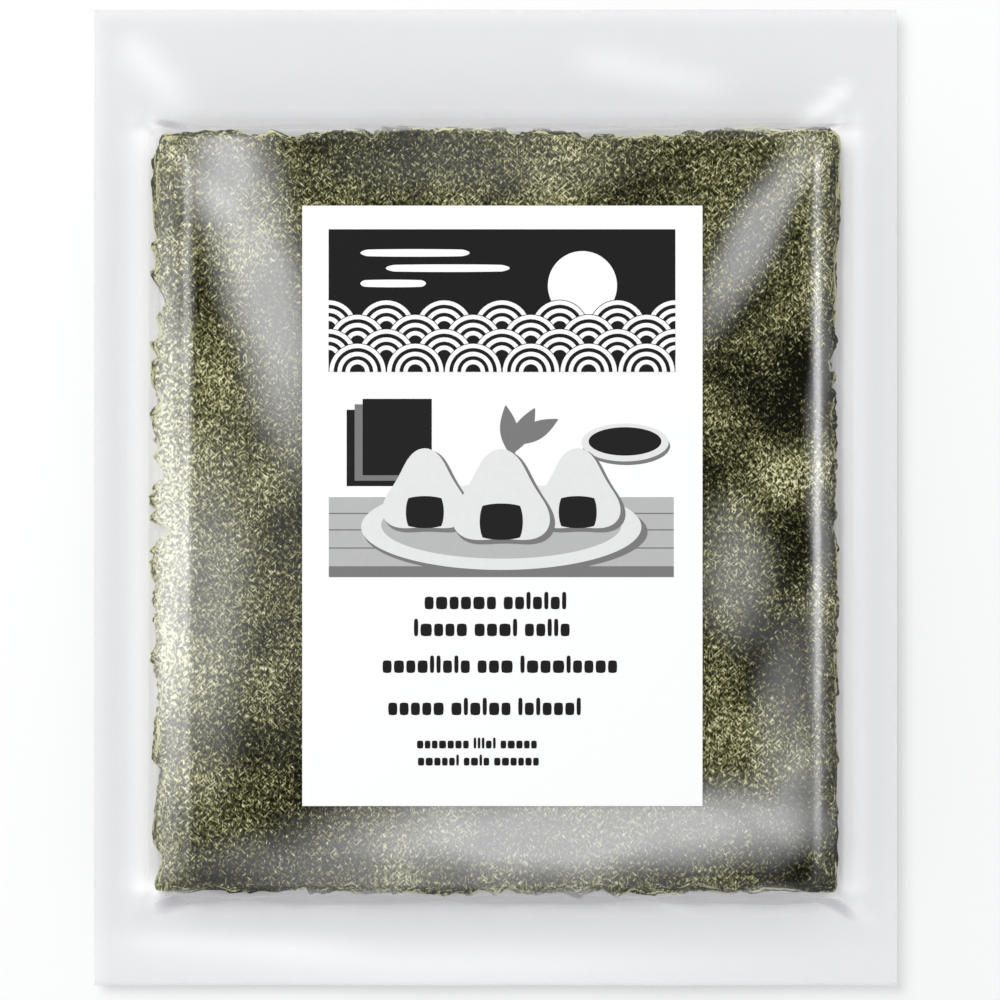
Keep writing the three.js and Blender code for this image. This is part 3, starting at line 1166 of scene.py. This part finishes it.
def word_blocks(label, sheets):
    """Lines of small rounded blocks in groups, which stand for print and spell nothing."""
    rng = np.random.default_rng(8)
    made = []
    for y, centre, height, groups in PRINT_LINES:
        space, gap = BLOCK_SPACE * height, GROUP_SPACE * height
        widths = [rng.choice(BLOCK_WIDTHS, size=count, p=BLOCK_CHANCES) * height for count in groups]
        total = sum(group.sum() + space * (len(group) - 1) for group in widths) + gap * (len(groups) - 1)
        x = centre - total / 2
        for group in widths:
            for width in group:
                tall = height * (NARROW_HEIGHT if width < NARROW_WIDTH * height else 1.0)
                block = rounded_block(width * MM, tall * MM)
                made.append(ink(block, (x + width / 2, y + (tall - height) / 2), PRINT_LAYER, label, sheets))
                x += width + space
            x += gap - space
    return made


def wave_fans(label, sheets):
    """Overlapping rows of fans of arcs, an old wave pattern, over the whole width of the panel.

    Each row covers the lower part of the row behind it. Returns the dark grounds and the white arcs.
    """
    grounds, arcs = [], []
    radius = PANEL_SIZE[0] / (2 * FANS)
    left = PANEL_CENTRE[0] - PANEL_SIZE[0] / 2
    bottom = PANEL_CENTRE[1] - PANEL_SIZE[1] / 2
    for row in range(FAN_ROWS):
        layer = FAN_LAYER + 2 * row
        ahead = FAN_ROWS - 1 - row
        y = bottom + ahead * radius / 2
        below = FAN_BELOW if ahead > 0 else 0
        for k in range(FANS + ahead % 2):
            x = left + radius * (2 * k + 1 - ahead % 2)
            start = 90 if k == FANS else -below
            end = 90 if ahead % 2 and k == 0 else 180 + below
            middle, width = (radius * share * MM for share in FAN_GROUND)
            ground = arc_band(middle, width, max(start, 0), min(end, 180))
            grounds.append(ink(ground, (x, y), layer, label, sheets))
            for share in FAN_ARCS:
                arc = arc_band(radius * share * MM, radius * FAN_ARC_WIDTH * MM, start, end)
                arcs.append(ink(arc, (x, y), layer + 1, label, sheets))
    return grounds, arcs


def panel_sky(label, sheets):
    """A plain white sun that rises behind the waves, and rounded bands of mist beside it."""
    x, y, radius = SUN
    made = [ink(disc(radius * MM, radius * MM, 32), (x, y), SKY_LAYER, label, sheets)]
    for x, y, width in MIST:
        band = rounded_block(width * MM, MIST_HEIGHT * MM, 12)
        made.append(ink(band, (x, y), SKY_LAYER, label, sheets))
    return made


# Shares of a leaf's length between which it is drawn, so that its points keep some width.
LEAF_ENDS = (0.02, 0.98)


def leaf(length, width, turn, steps=16):
    """A grid on a pointed leaf: its half width is a sine along its length, turned by an angle in degrees."""
    t, v = np.meshgrid(np.linspace(*LEAF_ENDS, steps + 1), np.linspace(-1, 1, 5), indexing="ij")
    along, beside = (t - 0.5) * length, v * width / 2 * np.sin(np.pi * t)
    c, s = math.cos(math.radians(turn)), math.sin(math.radians(turn))
    return along * c - beside * s, along * s + beside * c


# The picture's flat shapes: tone, form, its sizes in millimetres and steps, place from the picture's middle
# in millimetres, and layer. They are a board with its edge and seams, a dish over its shadow, three sheets
# of nori one behind the other, and a small dish of sauce over its shadow.
PICTURE_SHAPES = (
    ("light", rectangle, (PICTURE_WIDTH, 21), (24, 6), (0, -15.5), 1),
    ("mid", rectangle, (PICTURE_WIDTH, 3), (24, 2), (0, -25.5), 2),
    ("mid", rectangle, (PICTURE_WIDTH, 0.35), (24, 1), (0, -9.5), 2),
    ("mid", rectangle, (PICTURE_WIDTH, 0.35), (24, 1), (0, -14.0), 2),
    ("mid", rectangle, (PICTURE_WIDTH, 0.35), (24, 1), (0, -19.0), 2),
    ("mid", disc, (39, 11.5), (32,), (1.2, -14.6), 3),
    ("pale", disc, (38.5, 11.8), (32,), (0, -13.2), 4),
    ("light", disc, (33, 9.2), (32,), (0, -12.7), 5),
    ("dark", rectangle, (19, 21), (8, 8), (-33, 8.5), 1),
    ("mid", rectangle, (19, 21), (8, 8), (-30.8, 10), 2),
    ("dark", rectangle, (19, 21), (8, 8), (-28.6, 11.5), 3),
    ("mid", disc, (12, 5.2), (24,), (34.4, 9), 2),
    ("pale", disc, (12, 5.2), (24,), (34, 10), 3),
    ("dark", disc, (10, 3.9), (24,), (34, 10.3), 4),
)

# Leaves behind the rice balls: turn in degrees, place and layer, and their length and width.
LEAVES = ((28, (9.2, 13), 2), (98, (2.2, 13), 3), (62, (5.8, 13), 4))
LEAF_SIZE = (15, 5)

# Rice balls: place, size and layer, the place of their shadow, the size of the ball over it, and the width,
# height and drop of the band of nori, as shares of the size.
RICE_BALLS = ((-21, -4.5, 11.0, 6), (21, -4.5, 11.0, 6), (0, -6.5, 12.5, 9))
BALL_SHADOW = (1.0, -0.9)
BALL_SIZE = 0.97
BALL_BAND = (0.95, 0.8)
BALL_BAND_DROP = 0.42


def picture_tones(label, sheets):
    """A plain grey picture of rice balls on a round dish over a board, as flat shapes in each tone."""
    tones = {"dark": [], "mid": [], "light": [], "pale": []}

    def put(tone, patch, x, y, layer):
        centre = (PICTURE_CENTRE[0] + x, PICTURE_CENTRE[1] + y)
        tones[tone].append(ink(patch, centre, layer, label, sheets))

    for tone, form, size, steps, place, layer in PICTURE_SHAPES:
        put(tone, form(size[0] * MM, size[1] * MM, *steps), *place, layer)
    for turn, place, layer in LEAVES:
        put("mid", leaf(LEAF_SIZE[0] * MM, LEAF_SIZE[1] * MM, turn), *place, layer)
    for x, y, size, layer in RICE_BALLS:
        put("mid", rounded_triangle(size * MM), x + BALL_SHADOW[0], y + BALL_SHADOW[1], layer)
        put("pale", rounded_triangle(size * BALL_SIZE * MM), x, y, layer + 1)
        band = rounded_block(size * BALL_BAND[0] * MM, size * BALL_BAND[1] * MM, 10)
        put("dark", band, x, y - size * BALL_BAND_DROP, layer + 2)
    return tones


def softbox(name, place, size, radiance, mirrored=False, receivers=None):
    """A flat light that faces the bag, its width across the bag and its height along it.

    It shows either in reflections only or in none. It lights all pieces, or only those of one collection,
    which then no other piece shades.
    """
    data = bpy.data.lights.new(name, "AREA")
    data.shape = "ELLIPSE" if mirrored else "RECTANGLE"
    data.size, data.size_y = size
    data.energy = radiance * math.pi * size[0] * size[1] * (math.pi / 4 if mirrored else 1)
    lamp = bpy.data.objects.new(name, data)
    lamp.location = place
    away = Vector(place).normalized()
    along = away.cross(Vector((1, 0, 0))).normalized()
    lamp.rotation_euler = Matrix((along.cross(away), along, away)).transposed().to_euler()
    lamp.visible_camera = False
    lamp.visible_glossy = mirrored
    lamp.visible_diffuse = not mirrored
    lamp.light_linking.receiver_collection = receivers
    lamp.light_linking.blocker_collection = receivers
    bpy.context.scene.collection.objects.link(lamp)


class NORI_OT_film(bpy.types.Operator):
    """Builds the front and back films of the bag"""

    bl_idname = "nori.film"
    bl_label = "Film"

    def execute(self, context):
        film, sheets = context.scene.nori_film, context.scene.nori_sheets
        material = film_material(film)
        for name, front in (("front_film", True), ("back_film", False)):
            x, y = film_grid(sheets, 1 if front else 2)
            made = shell(x, y, *film_faces(x, y, film, sheets, front))
            fields = film_fields(x, y, film, sheets, front)
            piece = make_piece(name, [made], material, fields)
            piece.visible_shadow = not front
            piece.visible_diffuse = False
            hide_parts("bag")
        return {"FINISHED"}


# Points round a sheet and distances of its rings from the outline in millimetres: the top sheet, those that
# are finely torn, and the plain ones between.
TOP_RINGS = (1500, (0, 0.5, 1, 2, 3.5, 5.5, 8, 11, 15, 22, 32, 45, 60, 78))
FINE_RINGS = (1000, (0, 0.8, 2, 12))
PLAIN_RINGS = (500, (0, 8))

# How far inside the full size a sheet ends, at the least and its spread, and the paleness of its torn edge.
SHORT_LEAST = 1.8 * MM
SHORT_SPREAD = 0.5 * MM
RIM_PALE = 0.85

# Sheets that stand out furthest: every how many, the first, how far inside the full size they end, and
# paleness.
PROUD_EVERY, PROUD_FIRST = 9, 4
PROUD_INSET = 1.3 * MM
PROUD_PALE = 1.5

# Finely torn sheets at the bottom, and the share of the height up to which the plain ones are the lower
# sheets.
BOTTOM_COUNT = 2
LOWER_SHARE = 0.45


class NORI_OT_sheets(bpy.types.Operator):
    """Builds the stack of nori sheets"""

    bl_idname = "nori.sheets"
    bl_label = "Sheets"

    def execute(self, context):
        sheets = context.scene.nori_sheets
        material = nori_material(sheets)
        rng = np.random.default_rng(21)
        shared = stack_tears(2 * (sheets.width + sheets.length))
        groups = {}
        for k in range(sheets.count):
            fraction = (k + 0.5) / sheets.count
            short = SHORT_LEAST + SHORT_SPREAD * abs(rng.normal())
            pale = RIM_PALE
            if k == sheets.count - 1:
                name, rings = "top_sheet", TOP_RINGS
            elif k >= sheets.count - sheets.fine_count:
                name, rings = "upper_sheets", FINE_RINGS
            elif k < BOTTOM_COUNT:
                name, rings = "bottom_sheets", FINE_RINGS
            elif k % PROUD_EVERY == PROUD_FIRST:
                name, rings, short, pale = "proud_sheets", FINE_RINGS, PROUD_INSET, PROUD_PALE
            else:
                name, rings = "lower_sheets" if fraction < LOWER_SHARE else "middle_sheets", PLAIN_RINGS
            made = sheet_shell(rng, k, fraction, rings, short, pale, shared, sheets)
            groups.setdefault(name, []).append(made)
        for name, made in groups.items():
            keys = ("flat", "rim", "thin")
            attributes = {key: np.concatenate([fields[key] for _, fields in made]) for key in keys}
            piece = make_piece(name, [part for part, _ in made], material, attributes)
            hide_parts("bag")
        return {"FINISHED"}


# Steps of the label's grid and of the panel's, and the roughness and mottle of bare paper, of ink and of
# the floor.
LABEL_STEPS = (44, 66)
PANEL_STEPS = (30, 24)
PAPER_FINISH = (0.5, 0.006)
INK_FINISH = (0.42, 0.04)
FLOOR_FINISH = (0.7, 0.004)


class NORI_OT_label(bpy.types.Operator):
    """Builds the paper label on the front film"""

    bl_idname = "nori.label"
    bl_label = "Label"

    def execute(self, context):
        label, sheets = context.scene.nori_label, context.scene.nori_sheets
        width, height = (LABEL_HIGH - LABEL_LOW)[:2]
        x, y = rectangle(width, height, *LABEL_STEPS)
        x, y = x + LABEL_MIDDLE[0], y + LABEL_MIDDLE[1]
        z = label_top(x, y, label, sheets)
        made = shell(x, y, z, z - label.thickness)
        material = printed_material("White coated label paper", label.paper, *PAPER_FINISH)
        piece = make_piece("label_sheet", [made], material)
        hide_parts("label")
        return {"FINISHED"}


class NORI_OT_print(bpy.types.Operator):
    """Builds the print on the label"""

    bl_idname = "nori.print"
    bl_label = "Print"

    def execute(self, context):
        label, sheets = context.scene.nori_label, context.scene.nori_sheets
        panel = rectangle(PANEL_SIZE[0] * MM, PANEL_SIZE[1] * MM, *PANEL_STEPS)
        grounds, arcs = wave_fans(label, sheets)
        black = [ink(panel, PANEL_CENTRE, PRINT_LAYER, label, sheets)] + grounds + word_blocks(label, sheets)
        inks = {"black": (black, label.black), "white": (panel_sky(label, sheets) + arcs, label.paper)}
        for tone, shells in picture_tones(label, sheets).items():
            inks[tone] = (shells, getattr(label, tone))
        for tone, (shells, colour) in inks.items():
            material = printed_material("Offset ink, " + tone, colour, *INK_FINISH)
            make_piece("print_" + tone, shells, material)
        return {"FINISHED"}


# Softboxes: place and size in metres, and radiance. The key lights everything. The reflected boxes show
# only as lights along the shoulders and the left wall of the film, and the film boxes light only its haze.
KEY_BOX = ((-0.75, 0.8, 1.7), (1.2, 1.2), 5.2)
REFLECTED_BOXES = {
    "left_strip": ((-0.96, 0.05, 1.28), (0.42, 0.44), 8.5),
    "right_strip": ((0.96, 0.03, 1.28), (0.36, 0.36), 16.0),
    "left_side": ((-1.3, -0.03, 0.75), (1.1, 0.32), 2.2),
}
FILM_BOXES = {
    "film_fill": ((1.2, -0.7, 0.8), (1.0, 1.0), 2.0),
    "film_top": ((0.3, 0, 1.7), (1.6, 1.6), 2.1),
}

# The sky: its colour, the heights of a direction between which it darkens, and its strengths below and above
# them. Then the width of the camera's sensor in millimetres.
SKY_COLOUR = "#fdfeff"
SKY_TURN = (0.80, 0.94)
SKY_STRENGTHS = (0.80, 0.05)
SENSOR_WIDTH = 36


class NORI_OT_stage(bpy.types.Operator):
    """Builds the floor, the light and the camera"""

    bl_idname = "nori.stage"
    bl_label = "Stage"

    def execute(self, context):
        scene, stage = context.scene, context.scene.nori_stage
        half = stage.floor_size / 2
        mesh = bpy.data.meshes.new("floor")
        corners = [(-half, -half, 0), (half, -half, 0), (half, half, 0), (-half, half, 0)]
        mesh.from_pydata(corners, [], [(0, 1, 2, 3)])
        mesh.materials.append(printed_material("White studio paper", stage.floor, *FLOOR_FINISH))
        floor = bpy.data.objects.new("floor", mesh)
        scene.collection.objects.link(floor)
        self.light(scene)
        camera_data = bpy.data.cameras.new("camera")
        camera_data.sensor_width = SENSOR_WIDTH
        camera_data.lens = SENSOR_WIDTH * stage.camera_height / stage.frame_width
        camera = bpy.data.objects.new("camera", camera_data)
        camera.location = (stage.aim_x, stage.aim_y, stage.camera_height)
        scene.collection.objects.link(camera)
        scene.camera = camera
        return {"FINISHED"}

    def light(self, scene):
        """A sky bright at the horizon and dark overhead, a key at the top left, and boxes for the film."""
        world = bpy.data.worlds.new("studio")
        world.use_nodes = True
        tree = world.node_tree
        tree.nodes.clear()
        direction = node(tree, "ShaderNodeTexCoord").outputs["Generated"]
        height = node(tree, "ShaderNodeSeparateXYZ", {0: direction}).outputs["Z"]
        level = node(
            tree,
            "ShaderNodeMapRange",
            {
                "Value": height,
                "From Min": SKY_TURN[0],
                "From Max": SKY_TURN[1],
                "To Min": SKY_STRENGTHS[0],
                "To Max": SKY_STRENGTHS[1],
            },
            interpolation_type="SMOOTHSTEP",
        ).outputs[0]
        sky = node(tree, "ShaderNodeBackground", {"Color": opaque(linear(SKY_COLOUR)), "Strength": level})
        output = node(tree, "ShaderNodeOutputWorld")
        tree.links.new(sky.outputs[0], output.inputs["Surface"])
        scene.world = world
        scene.view_settings.view_transform = "Standard"
        softbox("key", *KEY_BOX)
        films = bpy.data.collections.new("films")
        for name in ("front_film", "back_film"):
            films.objects.link(bpy.data.objects[name])
        for boxes, mirrored in ((REFLECTED_BOXES, True), (FILM_BOXES, False)):
            for name, box in boxes.items():
                softbox(name, *box, mirrored, films)


class NORI_PT_panel(bpy.types.Panel):
    """Settings and buttons of the nori bag"""

    bl_label = "Nori Bag"
    bl_idname = "NORI_PT_panel"
    bl_space_type = "VIEW_3D"
    bl_region_type = "UI"
    bl_category = "Nori"

    def draw(self, context):
        for key in SETTINGS:
            group = getattr(context.scene, key)
            box = self.layout.box()
            box.label(text=key.replace("_", " "))
            for name in group.__annotations__:
                box.prop(group, name)
        for operator in OPERATORS:
            self.layout.operator(operator.bl_idname)


SETTINGS = {
    "nori_film": NoriFilmSettings,
    "nori_sheets": NoriSheetSettings,
    "nori_label": NoriLabelSettings,
    "nori_stage": NoriStageSettings,
}
OPERATORS = (NORI_OT_film, NORI_OT_sheets, NORI_OT_label, NORI_OT_print, NORI_OT_stage)
CLASSES = (*SETTINGS.values(), *OPERATORS, NORI_PT_panel)


def register():
    """Registers the classes and gives the scene its settings."""
    for item in CLASSES:
        bpy.utils.register_class(item)
    for key, group in SETTINGS.items():
        setattr(bpy.types.Scene, key, bpy.props.PointerProperty(type=group))


def unregister():
    """Takes the settings and the classes away."""
    for key in SETTINGS:
        delattr(bpy.types.Scene, key)
    for item in reversed(CLASSES):
        bpy.utils.unregister_class(item)


def main():
    """Builds every piece in order."""
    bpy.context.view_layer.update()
    register()
    bpy.ops.nori.film()
    bpy.ops.nori.sheets()
    bpy.ops.nori.label()
    bpy.ops.nori.print()
    bpy.ops.nori.stage()


if __name__ == "__main__":
    main()
